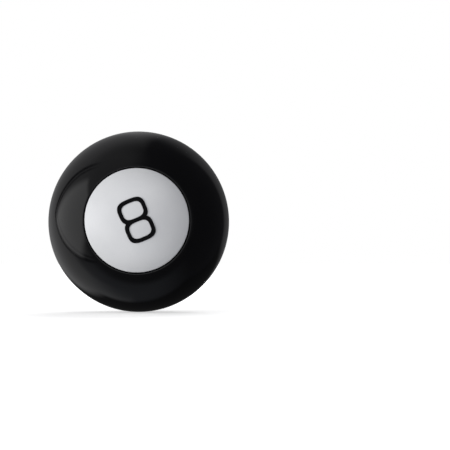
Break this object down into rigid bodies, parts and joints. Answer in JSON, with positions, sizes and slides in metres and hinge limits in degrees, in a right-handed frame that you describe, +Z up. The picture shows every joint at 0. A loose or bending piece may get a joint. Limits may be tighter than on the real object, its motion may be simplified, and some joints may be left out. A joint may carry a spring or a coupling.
{
  "type": "miniature fortune ball",
  "caption": "Small black ball with a white number disc, a clear window opposite it, and a liquid tank inside that holds a floating die.",
  "frame": {"origin": "the ball's centre, midway between the finger and the thumb that hold it", "axes": "-Y out through the number disc, +Y out through the window, +Z up as the ball is held in the picture"},
  "size_m": [0.038, 0.036, 0.038],
  "materials": {
    "shell_black": "gloss",
    "disc_silver": "satin",
    "numeral_ink": "satin",
    "window_clear": "gloss",
    "seal_rubber": "matte",
    "tank_plastic": "satin",
    "trap_plastic": "satin",
    "liquid_blue": "gloss",
    "die_white": "satin"
  },
  "bodies": {
    "ball": {"front_shell": "shell_black", "rear_shell": "shell_black", "number_disc": "disc_silver", "numeral": "numeral_ink", "window": "window_clear", "window_seal": "seal_rubber", "tank_body": "tank_plastic", "tank_cap": "tank_plastic", "fill_plug": "seal_rubber", "bubble_trap": "trap_plastic"},
    "liquid": {"tank_liquid": "liquid_blue"},
    "float": {"die_liquid": "liquid_blue"},
    "die": {"die_front_half": "die_white", "die_rear_half": "die_white"}
  },
  "joints": [
    {"name": "liquid_swirl", "type": "hinge", "parent": "ball", "child": "liquid", "pos_m": [0, 0, 0], "axis": [0, 1, 0], "continuous": true},
    {"name": "die_float", "type": "slide", "parent": "liquid", "child": "float", "axis": [0, -1, 0], "range_m": [0, 0.0076]},
    {"name": "die_tumble", "type": "hinge", "parent": "float", "child": "die", "pos_m": [0, 0.0087, 0], "axis": [1, 0, 0], "continuous": true}
  ]
}
